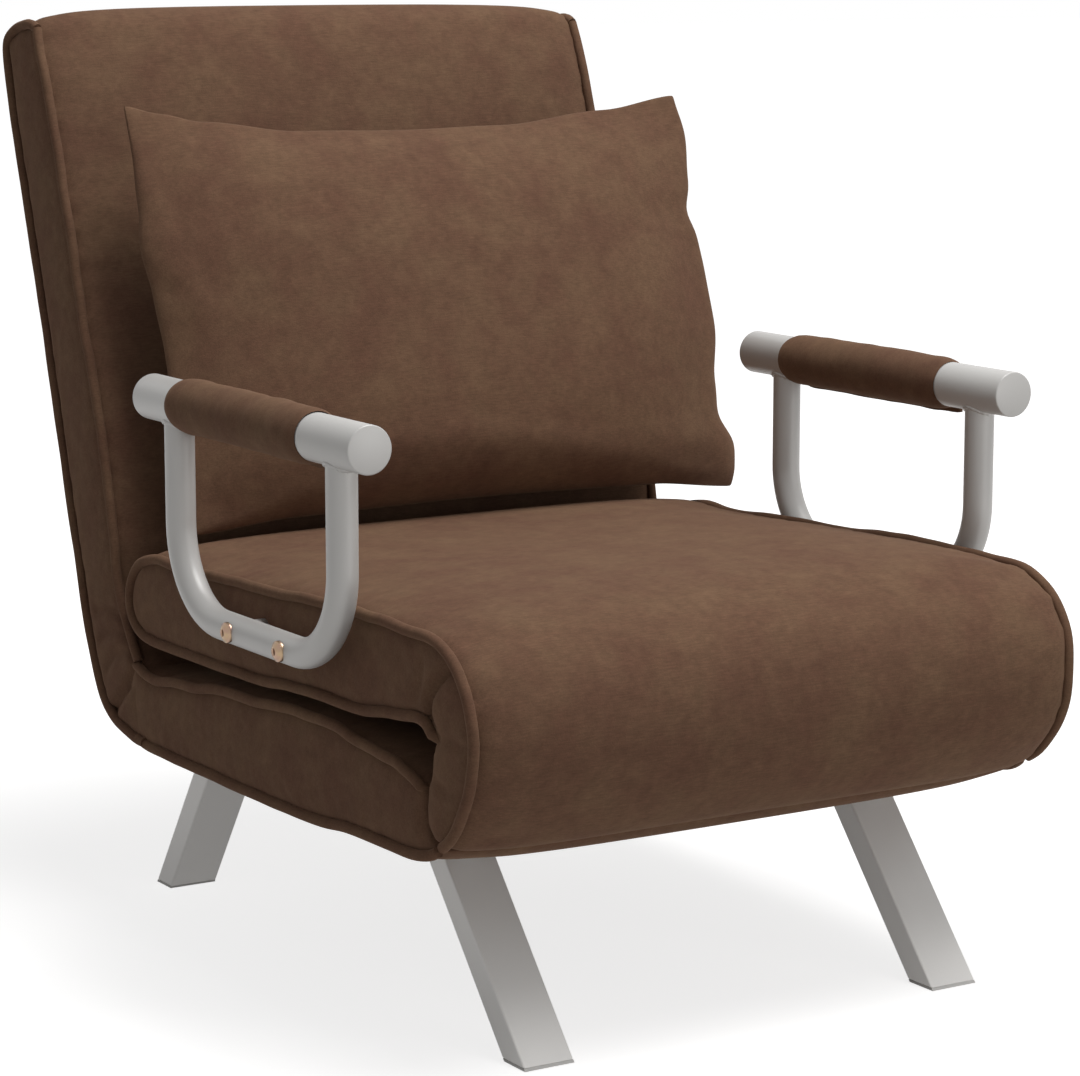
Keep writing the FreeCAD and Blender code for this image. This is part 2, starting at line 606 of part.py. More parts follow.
# Arms: a padded bar on a U of round tube, bolted through spacers to the seat frame's side rails.
arm_bolts = []
arm_spacers = []
arm_caps = []
arm_bolt_holes = []
for side, way in both_sides():
    body = doc.addObject("PartDesign::Body", f"arm_loop_{side}")
    planes = {face.Role: face for face in body.Origin.OriginFeatures}
    front, rear = size("front_upright_y"), size("arm_rear_y")
    low, high, bend = size("arm_tube_bottom"), size("arm_height"), size("arm_tube_bend")
    slack = bend * math.sqrt(0.5)
    spine = body.newObject("Sketcher::SketchObject", f"arm_spine_{side}")
    spine.AttachmentSupport = (planes["YZ_Plane"], "")
    spine.MapMode = "FlatFace"
    spine.addGeometry(Part.LineSegment(V(front, high, 0), V(front, low + bend, 0)))
    spine.addGeometry(Part.Arc(V(front, low + bend, 0), V(front + bend - slack, low + bend - slack, 0),
                               V(front + bend, low, 0)))
    spine.addGeometry(Part.LineSegment(V(front + bend, low, 0), V(rear - bend, low, 0)))
    spine.addGeometry(Part.Arc(V(rear - bend, low, 0), V(rear - bend + slack, low + bend - slack, 0),
                               V(rear, low + bend, 0)))
    spine.addGeometry(Part.LineSegment(V(rear, low + bend, 0), V(rear, high, 0)))
    for kind, radius in (("AdditivePipe", size("arm_tube_radius")),
                         ("SubtractivePipe", size("arm_tube_radius") - size("arm_tube_wall"))):
        section = body.newObject("Sketcher::SketchObject", f"arm_section_{kind}_{side}")
        section.AttachmentSupport = (planes["XY_Plane"], "")
        section.MapMode = "FlatFace"
        section.AttachmentOffset = FreeCAD.Placement(V(0, 0, high), FreeCAD.Rotation())
        section.addGeometry(Part.Circle(V(0, front, 0), V(0, 0, 1), radius))
        doc.recompute()
        pipe = body.newObject("PartDesign::" + kind, f"arm_{kind}_{side}")
        pipe.Profile = section
        pipe.Spine = (spine, [f"Edge{number}" for number in range(1, 6)])
        doc.recompute()
    bind(body, ".Placement.Base.x", f"{way} * arm_offset")
    loop_tools = [rod(f"arm_cope_{side}", ALONG_Y, (f"{way} * arm_offset", "arm_bar_y", "arm_height"),
                      "arm_bar_radius + weld_gap", "arm_bar_length")]
    run = rod(f"arm_saddle_{side}", ALONG_Y, (f"{way} * arm_offset", "arm_bar_y", "arm_tube_bottom"),
              "arm_tube_radius + weld_gap", "arm_bar_length")
    turn = ALONG_X if way == "1" else FreeCAD.Rotation(V(0, 1, 0), -90)
    inward = FreeCAD.Rotation(V(0, 1, 0), -90) if way == "1" else ALONG_X
    for number in (0, 1):
        bolt_y = f"first_arm_bolt_y + {number} * arm_bolt_spread"
        reach = "arm_offset + arm_tube_radius - seat_frame_half_width + bolt_bite"
        name = f"{side}_{number}"
        arm_bolts.append(screw(f"arm_bolt_{name}", inward,
                               (f"{way} * (arm_offset + arm_tube_radius + bolt_head)", bolt_y,
                                "arm_tube_bottom"),
                               "bolt_radius", reach, "bolt_head_radius", "bolt_head"))
        hole = rod(f"arm_bolt_hole_{name}", inward,
                   (f"{way} * (arm_offset + arm_tube_radius + overrun)", bolt_y, "arm_tube_bottom"),
                   "bolt_radius + hole_play", f"{reach} + 2 * overrun")
        arm_bolt_holes.append(hole)
        loop_tools.append(hole)
        barrel = rod(f"arm_spacer_blank_{name}", turn,
                     (f"{way} * cushion_half_width", bolt_y, "arm_tube_bottom"),
                     "spacer_radius", "arm_offset - cushion_half_width")
        arm_spacers.append(cut(f"arm_spacer_{name}", barrel, [run, hole]))
        cap_y = "arm_bar_y" if number == 0 else "arm_bar_y + arm_bar_length - end_cap"
        plug_y = "arm_bar_y" if number == 0 else "arm_bar_y + arm_bar_length - end_plug"
        disc = rod(f"arm_cap_disc_{name}", ALONG_Y, (f"{way} * arm_offset", cap_y, "arm_height"),
                   "arm_bar_radius", "end_cap")
        plug = rod(f"arm_cap_plug_{name}", ALONG_Y, (f"{way} * arm_offset", plug_y, "arm_height"),
                   "arm_bar_radius - arm_tube_wall - plug_play", "end_plug")
        arm_caps.append(joined(f"arm_cap_{name}", [disc, plug]))
    nodes.append(cut(f"arm_tube_{side}", body, loop_tools))
    bar = rod(f"arm_bar_blank_{side}", ALONG_Y, (f"{way} * arm_offset", "arm_bar_y + end_cap", "arm_height"),
              "arm_bar_radius", "arm_bar_length - 2 * end_cap")
    bar_bore = rod(f"arm_bar_bore_{side}", ALONG_Y, (f"{way} * arm_offset", "arm_bar_y", "arm_height"),
                   "arm_bar_radius - arm_tube_wall", "arm_bar_length")
    nodes.append(cut(f"arm_bar_{side}", bar, [bar_bore]))
    sleeve = rod(f"arm_sleeve_blank_{side}", ALONG_Y, (f"{way} * arm_offset", "sleeve_front_y", "arm_height"),
                 "sleeve_outer", "sleeve_rear_y - sleeve_front_y")
    sleeve_bore = rod(f"arm_sleeve_bore_{side}", ALONG_Y,
                      (f"{way} * arm_offset", "sleeve_front_y - overrun", "arm_height"),
                      "arm_bar_radius + sleeve_play", "sleeve_rear_y - sleeve_front_y + 2 * overrun")
    nodes.append(cut(f"arm_sleeve_{side}", sleeve, [sleeve_bore]))
nodes.append(group("arm_bolts", arm_bolts))
nodes.append(group("arm_spacers", arm_spacers))
nodes.append(group("arm_bar_caps", arm_caps))

# Cushions. The crowns of the two seat layers all but touch in the middle of the chair.
edge = size("cushion_edge")
crown = size("fold_height") - size("soft_gap")
base_corners = [
    (size("cushion_front"), size("base_bottom"), edge),
    (size("base_rear"), size("base_bottom"), edge),
    (size("base_rear"), crown - size("base_rear_drop"), size("base_rear_rounding")),
    (size("crown_y"), crown, size("crown_rounding")),
    (size("cushion_front"), crown - size("base_front_drop"), edge),
]
crown = size("fold_height") + size("soft_gap")
seat_corners = [
    (size("cushion_front"), crown + size("base_front_drop"), edge),
    (size("crown_y"), crown, size("crown_rounding")),
    (size("seat_rear"), crown + size("base_rear_drop") / 2, size("seat_rear_tuck")),
    (size("seat_rear"), size("seat_top_rear"), size("seat_rear_rounding")),
    (size("crown_y"), size("seat_top_front"), size("crown_rounding")),
    (size("cushion_front"), size("seat_top_front"), edge),
]
back_swell = -size("back_below") - size("back_swell")
back_corners = [
    (size("recline_end_gap"), -size("back_below"), edge),
    (size("back_swell_low"), back_swell, size("back_swell_rounding")),
    (size("back_length") - size("back_swell_high"), back_swell, size("back_swell_rounding")),
    (size("back_length"), -size("back_below"), size("back_rounding")),
    (size("back_length"), size("recline_cover"), size("back_rounding")),
    (size("recline_end_gap"), size("recline_cover"), size("base_rear_rounding")),
]
base_front_holes = fold_screw_holes("base_front", "base_frame_middle", False)
seat_front_holes = fold_screw_holes("seat_front", "arm_tube_bottom", False)
nodes += cushion("base", base_corners,
                 ("base_frame_half_width", "frame_front", "base_frame_rear",
                  "base_frame_bottom", "base_frame_top"),
                 "seat_strap_count", base_front_holes + base_screw_holes + leg_bolt_holes,
                 base_front_holes + base_screw_holes + leg_bolt_holes, [])
nodes += cushion("seat", seat_corners,
                 ("seat_frame_half_width", "frame_front", "seat_frame_rear",
                  "seat_frame_bottom", "seat_frame_top"),
                 "seat_strap_count", seat_front_holes + arm_bolt_holes,
                 seat_front_holes + arm_bolt_holes, arm_bolt_holes)
back_nodes = cushion("back", back_corners,
                     ("back_frame_half_width", "back_frame_start", "back_frame_reach",
                      "back_frame_low", "back_frame_high"),
                     "back_strap_count", back_screw_holes, back_screw_holes, [])
nodes += [lean_back(piece) for piece in back_nodes]

# Nose: the fabric and foam that wrap round the front fold, open at the rear for the hinges.
nose_rear = size("cushion_front") - size("soft_gap")
nose_front = size("fold_y") - size("nose_reach")
nose_slope = size("nose_lower_rise") / (nose_rear - nose_front)


def nose_corners(rear):
    """The nose's outline, cut off at a place in Y. Its underside slopes up to the front."""
    return [
        (rear, size("base_bottom") + (nose_rear - rear) * nose_slope, 0),
        (nose_front, size("base_bottom") + size("nose_lower_rise"), size("nose_lower_rounding")),
        (nose_front, size("seat_top_front"), size("nose_upper_rounding")),
        (rear, size("seat_top_front"), 0),
    ]


nose_skin = slab("nose_skin", nose_corners(nose_rear), "2 * cushion_half_width")
nose_hollow = slab("nose_hollow", nose_corners(nose_rear + 2 * size("fabric")),
                   "2 * (cushion_half_width - fabric)", size("fabric"))
nodes.append(cut("nose_cover", nose_skin, [nose_hollow]))
nose_foam_rear = size("fold_y") - size("knuckle_radius") - size("soft_gap")
nodes.append(slab("nose_foam", nose_corners(nose_foam_rear + size("cover_inside")),
                  "2 * (cushion_half_width - cover_inside)", size("cover_inside")))

# Corner: the fabric and foam that wrap round the rear fold, a wedge about the recline axis.
def wedge(label, radius, half_width, base_side, back_side):
    """A part of a roll about the recline axis, between the base's rear and the back's lower end."""
    roll = rod(label + "_roll", ALONG_X, (f"-({half_width})", "recline_y", "recline_height"),
               radius, f"2 * ({half_width})")
    in_base = block(label + "_in_base", (f"-({half_width}) - overrun", f"{half_width} + overrun"),
                    (f"recline_y - 2 * ({radius})", f"recline_y - ({base_side})"),
                    (f"recline_height - 2 * ({radius})", f"recline_height + 2 * ({radius})"))
    in_back = block(label + "_in_back", (f"-({half_width}) - overrun", f"{half_width} + overrun"),
                    (back_side, f"2 * ({radius})"), (f"-2 * ({radius})", f"2 * ({radius})"))
    leaning = group(label + "_leaning", [in_back])
    lean_back(leaning)
    return cut(label, roll, [in_base, leaning])


corner_skin = wedge("corner_skin", "back_below", "cushion_half_width",
                    "recline_end_gap - soft_gap", "recline_end_gap - soft_gap")
corner_hollow = rod("corner_hollow", ALONG_X,
                    ("fabric - cushion_half_width", "recline_y", "recline_height"),
                    "back_below - fabric", "2 * (cushion_half_width - fabric)")
nodes.append(cut("corner_cover", corner_skin, [corner_hollow]))
corner_roll = wedge("corner_roll", "back_below - cover_inside", "cushion_half_width - cover_inside",
                    "back_plate_face - screw_head - ratchet_foam_gap",
                    "back_plate_face - screw_head - ratchet_foam_gap")
corner_core = rod("corner_core", ALONG_X, ("-cushion_half_width", "recline_y", "recline_height"),
                  "recline_end_gap + ratchet_plate_top", "2 * cushion_half_width")
nodes.append(cut("corner_foam", corner_roll, [corner_core]))


# Pillow: loose, leaning on the back and standing on the seat. Its rim lies in its middle plane.
def pillow_solid(depth):
    """The pillow's body as a loft through flat oblongs, shrunk by a depth."""
    half_width = size("pillow_half_width") - depth
    half_height = size("pillow_height") / 2 - depth
    half_thickness = size("pillow_thickness") / 2 - depth
    centre = size("pillow_start") + size("pillow_height") / 2
    oblongs = []
    for level in (-1, -0.85, -0.5, 0, 0.5, 0.85, 1):
        drawn_in = size("pillow_shoulder") * level ** 2
        wide = half_width - drawn_in
        tall = half_height - drawn_in
        lift = size("pillow_middle") + level * half_thickness
        corners = [V(size("pillow_sideways") + x * wide, centre + y * tall, lift)
                   for x, y in ((-1, -1), (1, -1), (1, 1), (-1, 1), (-1, -1))]
        oblongs.append(Part.makePolygon(corners))
    return Part.makeLoft(oblongs, True, True)


outer = doc.addObject("Part::Feature", "pillow_outer")
outer.Shape = pillow_solid(0)
inner = doc.addObject("Part::Feature", "pillow_inner")
inner.Shape = pillow_solid(size("fabric"))
nodes.append(lean_back(cut("pillow_cover", outer, [inner])))
fill = doc.addObject("Part::Feature", "pillow_fill")
fill.Shape = pillow_solid(size("cover_inside"))
nodes.append(lean_back(fill))

doc.recompute()
for piece in doc.Objects:
    if "Invalid" in piece.State or "Error" in piece.State:
        raise RuntimeError(f"{piece.Label} did not compute: {piece.State}")
os.makedirs("parts", exist_ok=True)
for piece in nodes:
    if piece.Shape.isNull() or not piece.Shape.isValid():
        raise RuntimeError(f"{piece.Label} has no valid shape")
    piece.Shape.exportStep(f"parts/{piece.Label}.step")
    print(piece.Label, len(piece.Shape.Solids), round(piece.Shape.Volume / 1000, 1))
print(len(nodes), "nodes")
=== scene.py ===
import math
import bmesh
import bpy
from mathutils import Matrix, Vector, bvhtree, geometry, kdtree, noise


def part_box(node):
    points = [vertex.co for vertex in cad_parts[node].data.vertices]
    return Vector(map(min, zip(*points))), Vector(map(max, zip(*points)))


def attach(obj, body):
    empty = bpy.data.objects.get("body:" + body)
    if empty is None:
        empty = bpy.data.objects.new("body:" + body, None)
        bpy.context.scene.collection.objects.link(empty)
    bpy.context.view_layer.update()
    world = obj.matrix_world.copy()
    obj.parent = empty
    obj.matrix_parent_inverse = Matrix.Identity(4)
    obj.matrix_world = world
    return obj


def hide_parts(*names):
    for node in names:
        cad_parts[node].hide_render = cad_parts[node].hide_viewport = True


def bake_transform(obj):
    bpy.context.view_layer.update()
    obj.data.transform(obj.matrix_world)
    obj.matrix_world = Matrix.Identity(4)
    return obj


# A single chair that opens into a bed: steel legs, two steel arms, three upholstered cushions and a
# loose pillow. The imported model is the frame, and everything here is in its metres: X runs across the
# chair, the sitter looks along -Y and Z is up.
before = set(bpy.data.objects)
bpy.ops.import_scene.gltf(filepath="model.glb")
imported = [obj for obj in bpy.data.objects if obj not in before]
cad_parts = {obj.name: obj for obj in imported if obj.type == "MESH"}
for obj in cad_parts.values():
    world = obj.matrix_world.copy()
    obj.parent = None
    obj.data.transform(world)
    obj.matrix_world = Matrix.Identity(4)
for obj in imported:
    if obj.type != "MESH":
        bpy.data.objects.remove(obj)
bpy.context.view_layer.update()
mm = 0.001

# Legs. Four lengths of flat steel tube, splayed to the front and to the rear and cut flat on the floor.
# Each is welded to a plate that bolts up under the lower cushion, then powder coated a warm light grey.
# Their grey is painted lighter than the arms' same coat: painted light for the shade under the seat.
leg_width, leg_thickness = 45 * mm, 24 * mm
leg_outer = 218 * mm
leg_foot_y = {"front": -356.7 * mm, "rear": 254.3 * mm}
leg_splay = {"front": math.radians(40.5), "rear": math.radians(34)}
leg_plate_reach = {"front": (-48 * mm, 48 * mm), "rear": (-78 * mm, 13 * mm)}
leg_plate_thickness = 4 * mm
leg_eased = 1.4 * mm
glide_shows = 2 * mm


def to_linear(code):
    """The linear colour of an sRGB hex code."""
    parts = [int(code[i:i + 2], 16) / 255 for i in (1, 3, 5)]
    return tuple(p / 12.92 if p <= 0.04045 else ((p + 0.055) / 1.055) ** 2.4 for p in parts) + (1,)


def add(tree, kind, sockets, **settings):
    """Add a node. A socket takes a number, a colour or the output that feeds it."""
    made = tree.nodes.new("ShaderNode" + kind)
    for name, value in settings.items():
        setattr(made, name, value)
    for name, value in sockets.items():
        if isinstance(value, bpy.types.NodeSocket):
            tree.links.new(value, made.inputs[name])
        else:
            made.inputs[name].default_value = value
    return made


def new_material(name):
    """An empty material: its node tree, its Principled shader and where its patterns read their place."""
    material = bpy.data.materials.new(name)
    material.use_nodes = True
    tree = material.node_tree
    place = tree.nodes.new("ShaderNodeTexCoord").outputs["Object"]
    return material, tree, tree.nodes["Principled BSDF"], place


def coated_steel_finish(name, dark, light):
    """Silver powder coat, satin: fine metal flake under faint orange peel, softer where it is handled."""
    material, tree, shader, place = new_material(name)
    peel_size, cloud_size = 1.6 * mm, 60 * mm
    peel = add(tree, "TexNoise", {"Vector": place, "Scale": 1 / peel_size, "Detail": 2.0})
    cloud = add(tree, "TexNoise", {"Vector": place, "Scale": 1 / cloud_size, "Detail": 3.0})
    tint = add(tree, "Mix", {0: cloud.outputs["Fac"], 6: to_linear(dark), 7: to_linear(light)},
               data_type="RGBA")
    rough = add(tree, "MapRange", {"Value": cloud.outputs["Fac"], "To Min": 0.4, "To Max": 0.5})
    bump = add(tree, "Bump", {"Height": peel.outputs["Fac"], "Strength": 0.12, "Distance": 0.05 * mm})
    tree.links.new(tint.outputs[2], shader.inputs["Base Color"])
    tree.links.new(rough.outputs["Result"], shader.inputs["Roughness"])
    tree.links.new(bump.outputs["Normal"], shader.inputs["Normal"])
    shader.inputs["Metallic"].default_value = 0.12
    return material


# The legs' tints are painted light: the arms' coat made lighter to stand in for light in the shade under the
# seat.
leg_coat_painted_lighter = coated_steel_finish("leg_powder_coat_painted_lighter", "#eceae7", "#f2f0ed")


def finished(name, bm, material, smooth=True):
    """Turn a bmesh into a piece of the chair, with its faces outwards."""
    bmesh.ops.recalc_face_normals(bm, faces=bm.faces)
    mesh = bpy.data.meshes.new(name)
    bm.to_mesh(mesh)
    bm.free()
    mesh.materials.append(material)
    mesh.polygons.foreach_set("use_smooth", [smooth] * len(mesh.polygons))
    piece = bpy.data.objects.new(name, mesh)
    bpy.context.scene.collection.objects.link(piece)
    return piece


def add_box(bm, low, high):
    """A box between two corners. Returns its vertices."""
    made = bmesh.ops.create_cube(bm, size=1)["verts"]
    low, high = Vector(low), Vector(high)
    bmesh.ops.scale(bm, vec=high - low, verts=made)
    bmesh.ops.translate(bm, vec=(low + high) / 2, verts=made)
    return made


def ease(bm, width, edges=None, segments=2):
    """Round off sharp edges."""
    bmesh.ops.bevel(bm, geom=edges or bm.edges[:], offset=width, segments=segments, affect="EDGES",
                    profile=0.5, material=-1)


for end in ("front", "rear"):
    towards_end = -1 if end == "front" else 1
    slope = towards_end * math.tan(leg_splay[end])
    half_cut = leg_thickness / 2 / math.cos(leg_splay[end])
    for side, outwards in (("left", 1), ("right", -1)):
        node = f"leg_{end}_{side}"
        plate_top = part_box(node)[1].z
        leg_top = plate_top - leg_plate_thickness
        inner, outer = sorted((outwards * leg_outer, outwards * (leg_outer - leg_width)))
        bm = bmesh.new()
        tube = add_box(bm, (inner, leg_foot_y[end] - half_cut, glide_shows),
                       (outer, leg_foot_y[end] + half_cut, leg_top))
        for corner in tube:
            corner.co.y -= slope * corner.co.z
        top_y = leg_foot_y[end] - slope * leg_top
        plate_near, plate_far = leg_plate_reach[end]
        add_box(bm, (inner, top_y + plate_near, leg_top), (outer, top_y + plate_far, plate_top))
        ease(bm, leg_eased)
        leg = finished(node + "_steel", bm, leg_coat_painted_lighter, smooth=False)
        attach(leg, "base")
        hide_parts(node)


def plastic_finish():
    """Moulded polyethylene, matt: fine spark-eroded grain in a grey near the steel's."""
    material, tree, shader, place = new_material("moulded_plastic")
    grain = add(tree, "TexNoise", {"Vector": place, "Scale": 1 / (0.8 * mm), "Detail": 2.0})
    tint = add(tree, "Mix", {0: grain.outputs["Fac"], 6: to_linear("#d2d0cd"), 7: to_linear("#d9d7d4")},
               data_type="RGBA")
    bump = add(tree, "Bump", {"Height": grain.outputs["Fac"], "Strength": 0.3, "Distance": 0.05 * mm})
    tree.links.new(tint.outputs[2], shader.inputs["Base Color"])
    tree.links.new(bump.outputs["Normal"], shader.inputs["Normal"])
    shader.inputs["Roughness"].default_value = 0.6
    return material


def give(node, material):
    """Put a material on a CAD piece whose shape is right."""
    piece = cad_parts[node]
    piece.data.materials.clear()
    piece.data.materials.append(material)


give("leg_glides", plastic_finish())

# Arms. Each is a straight bar of round tube with closed ends, welded on a U of thinner tube. The U is
# bolted through spacers to the seat's frame, and turns over with it to be the foot of the bed.
bar_radius = 19 * mm
bar_height = 473.5 * mm
tube_radius = 12.4 * mm
tube_bend = 74 * mm
tube_height = 301 * mm
arm_x = 306 * mm
seam_half_width = 283 * mm
spacer_radius, spacer_sunk = 8 * mm, 4 * mm
bolt_places = (-169.9 * mm, -81.7 * mm)
upright_front, upright_rear = -253.1 * mm, 23.3 * mm
cap_front, cap_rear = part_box("arm_bar_caps")[0].y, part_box("arm_bar_caps")[1].y
cap_eased = 1.1 * mm
round_steps, bend_steps = 56, 20
arm_steel = coated_steel_finish("powder_coated_arm_steel", "#c6c4c1", "#cdcbc8")


def draw_out(bm, edges, move):
    """Extrude a ring of edges by a straight length. Returns the new ring."""
    made = bmesh.ops.extrude_edge_only(bm, edges=edges)["geom"]
    bmesh.ops.translate(bm, verts=[g for g in made if isinstance(g, bmesh.types.BMVert)], vec=move)
    return [g for g in made if isinstance(g, bmesh.types.BMEdge)]


def swing_round(bm, edges, centre, axis, angle, steps):
    """Extrude a ring of edges round an axis. Returns the last ring."""
    verts = list({v for e in edges for v in e.verts})
    made = bmesh.ops.spin(bm, geom=verts + edges, cent=centre, axis=axis, angle=angle, steps=steps,
                          use_duplicate=False)["geom_last"]
    return [g for g in made if isinstance(g, bmesh.types.BMEdge)]


def add_weld(bm, x, y):
    """The rippled bead of a weld, all round an upright where it meets the bar's underside."""
    bead, ripples, ripple_share, path_steps, bead_steps = 2.1 * mm, 18, 0.1, 72, 8
    rings = []
    for path_step in range(path_steps):
        turn = 2 * math.pi * path_step / path_steps
        out = Vector((math.cos(turn), math.sin(turn), 0))
        low = math.sqrt(bar_radius ** 2 - (tube_radius * out.x) ** 2)
        centre = Vector((x, y, bar_height - low)) + out * tube_radius
        thick = bead * (1 + ripple_share * math.sin(ripples * turn))
        ring = []
        for step in range(bead_steps):
            round_bead = 2 * math.pi * step / bead_steps
            level = Vector((0, 0, thick * math.sin(round_bead)))
            ring.append(bm.verts.new(centre + out * thick * math.cos(round_bead) + level))
        rings.append(ring)
    for ring, after in zip(rings, rings[1:] + rings[:1]):
        for step in range(bead_steps):
            bm.faces.new((ring[step], ring[step - 1], after[step - 1], after[step]))


for side, outwards in (("left", 1), ("right", -1)):
    x = outwards * arm_x
    bm = bmesh.new()
    ring = bmesh.ops.create_circle(bm, segments=round_steps, radius=tube_radius)["verts"]
    bmesh.ops.translate(bm, verts=ring, vec=(x, upright_front, bar_height))
    edges = bm.edges[:]
    edges = draw_out(bm, edges, (0, 0, tube_height + tube_bend - bar_height))
    edges = swing_round(bm, edges, (x, upright_front + tube_bend, tube_height + tube_bend), (1, 0, 0),
                        math.pi / 2, bend_steps)
    edges = draw_out(bm, edges, (0, upright_rear - upright_front - 2 * tube_bend, 0))
    edges = swing_round(bm, edges, (x, upright_rear - tube_bend, tube_height + tube_bend), (1, 0, 0),
                        math.pi / 2, bend_steps)
    draw_out(bm, edges, (0, 0, bar_height - tube_height - tube_bend))
    add_weld(bm, x, upright_front)
    add_weld(bm, x, upright_rear)
    loop = finished(f"arm_loop_{side}", bm, arm_steel)
    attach(loop, "seat")
    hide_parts(f"arm_tube_{side}")

    bm = bmesh.new()
    bmesh.ops.create_cone(bm, cap_ends=True, segments=round_steps, radius1=bar_radius, radius2=bar_radius,
                          depth=cap_rear - cap_front, matrix=Matrix.Rotation(math.pi / 2, 4, "X"))
    bmesh.ops.translate(bm, verts=bm.verts, vec=(x, (cap_front + cap_rear) / 2, bar_height))
    rims = [e for e in bm.edges if e.calc_face_angle() > 1]
    ease(bm, cap_eased, rims)
    bar = finished(f"arm_rail_{side}", bm, arm_steel)
    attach(bar, "seat")
    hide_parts(f"arm_bar_{side}", "arm_bar_caps")

bm = bmesh.new()
spacer_near = seam_half_width - spacer_sunk
for outwards in (1, -1):
    for bolt_y in bolt_places:
        spacer = bmesh.ops.create_cone(bm, cap_ends=True, segments=32, radius1=spacer_radius,
                                       radius2=spacer_radius, depth=arm_x - spacer_near,
                                       matrix=Matrix.Rotation(math.pi / 2, 4, "Y"))["verts"]
        bmesh.ops.translate(bm, verts=spacer, vec=(outwards * (spacer_near + arm_x) / 2, bolt_y, tube_height))
spacers = finished("arm_spacer_tubes", bm, arm_steel)
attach(spacers, "seat")
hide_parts("arm_spacers")

# Covers. Each cushion is foam in a sewn cover of brown faux suede: a long strip runs round its outline,
# and a boxing panel closes each side, with a piped seam between. Two hinges carry them: one in the crease
# at the front, about which the upper cushion turns over, and one in the corner under the back.
cover_grid = 8 * mm
panel_room = 8 * mm
cloth_frames = 20
fold_y, fold_z = -343.2 * mm, 248 * mm
recline_y, recline_z = 176.8 * mm, 224 * mm
lean = math.radians(17.2)


def suede_finish():
    """Brown faux suede: brushed polyester nap, matt, that lies in soft patches and fine level slubs."""
    material, tree, shader, place = new_material("brown_faux_suede")
    patch_size, stroke_size, nap_size = 55 * mm, 11 * mm, 1.2 * mm
    slub_length, slub_width = 9 * mm, 1.1 * mm
    patch = add(tree, "TexNoise", {"Vector": place, "Scale": 1 / patch_size, "Detail": 5.0,
                                   "Roughness": 0.62})
    stroke = add(tree, "TexNoise", {"Vector": place, "Scale": 1 / stroke_size, "Detail": 5.0,
                                    "Roughness": 0.7})
    nap = add(tree, "TexNoise", {"Vector": place, "Scale": 1 / nap_size, "Detail": 2.0})
    drawn = add(tree, "Mapping", {"Vector": place,
                                  "Scale": (1 / slub_length, 1 / slub_width, 1 / slub_width)})
    slub = add(tree, "TexNoise", {"Vector": drawn.outputs["Vector"], "Scale": 1.0, "Detail": 3.0})
    hue = add(tree, "MapRange", {"Value": patch.outputs["Fac"], "From Min": 0.35, "From Max": 0.65})
    base = add(tree, "Mix", {0: hue.outputs["Result"], 6: to_linear("#694c3c"), 7: to_linear("#735844")},
               data_type="RGBA")
    brushed = add(tree, "MapRange", {"Value": stroke.outputs["Fac"], "From Min": 0.3, "From Max": 0.7,
                                     "To Min": 0.86, "To Max": 1.12})
    lines = add(tree, "MapRange", {"Value": slub.outputs["Fac"], "From Min": 0.3, "From Max": 0.7,
                                   "To Min": 0.88, "To Max": 1.1})
    fibres = add(tree, "MapRange", {"Value": nap.outputs["Fac"], "To Min": 0.88, "To Max": 1.12})
    shade = add(tree, "Math", {0: brushed.outputs["Result"], 1: lines.outputs["Result"]},
                operation="MULTIPLY")
    shade = add(tree, "Math", {0: shade.outputs[0], 1: fibres.outputs["Result"]}, operation="MULTIPLY")
    colour = add(tree, "Mix", {0: 1.0, 6: base.outputs[2], 7: shade.outputs[0]},
                 data_type="RGBA", blend_type="MULTIPLY")
    heights = add(tree, "Math", {0: nap.outputs["Fac"], 1: stroke.outputs["Fac"]}, operation="ADD")
    bump = add(tree, "Bump", {"Height": heights.outputs[0], "Strength": 0.4, "Distance": 0.35 * mm})
    tree.links.new(colour.outputs[2], shader.inputs["Base Color"])
    tree.links.new(bump.outputs["Normal"], shader.inputs["Normal"])
    shader.inputs["Roughness"].default_value = 0.95
    shader.inputs["Specular IOR Level"].default_value = 0.2
    shader.inputs["Sheen Weight"].default_value = 0.12
    shader.inputs["Sheen Roughness"].default_value = 0.4
    shader.inputs["Sheen Tint"].default_value = to_linear("#c9aa8a")
    return material


suede = suede_finish()


def smooth_run(knots, step=4 * mm):
    """Points along a smooth line in the YZ plane through knots given in millimetres."""
    knots = [Vector((0, y * mm, z * mm)) for y, z in knots]
    guides = [knots[0], *knots, knots[-1]]
    points = []
    for before, start, end, after in zip(guides, guides[1:], guides[2:], guides[3:]):
        reach = (end - start).length / 3
        leave = (end - before).normalized() * reach
        arrive = (after - start).normalized() * reach
        count = max(2, round(3 * reach / step) + 1)
        points += geometry.interpolate_bezier(start, start + leave, end - arrive, end, count)[:-1]
    return points + [knots[-1]]


def plain_piece(name, source):
    """A piece of suede with the evaluated shape of a rough one, which is thrown away."""
    mesh = bpy.data.meshes.new_from_object(source.evaluated_get(bpy.context.evaluated_depsgraph_get()))
    bpy.data.objects.remove(source)
    mesh.name = name
    mesh.materials.clear()
    mesh.materials.append(suede)
    mesh.polygons.foreach_set("use_smooth", [True] * len(mesh.polygons))
    piece = bpy.data.objects.new(name, mesh)
    bpy.context.scene.collection.objects.link(piece)
    return piece


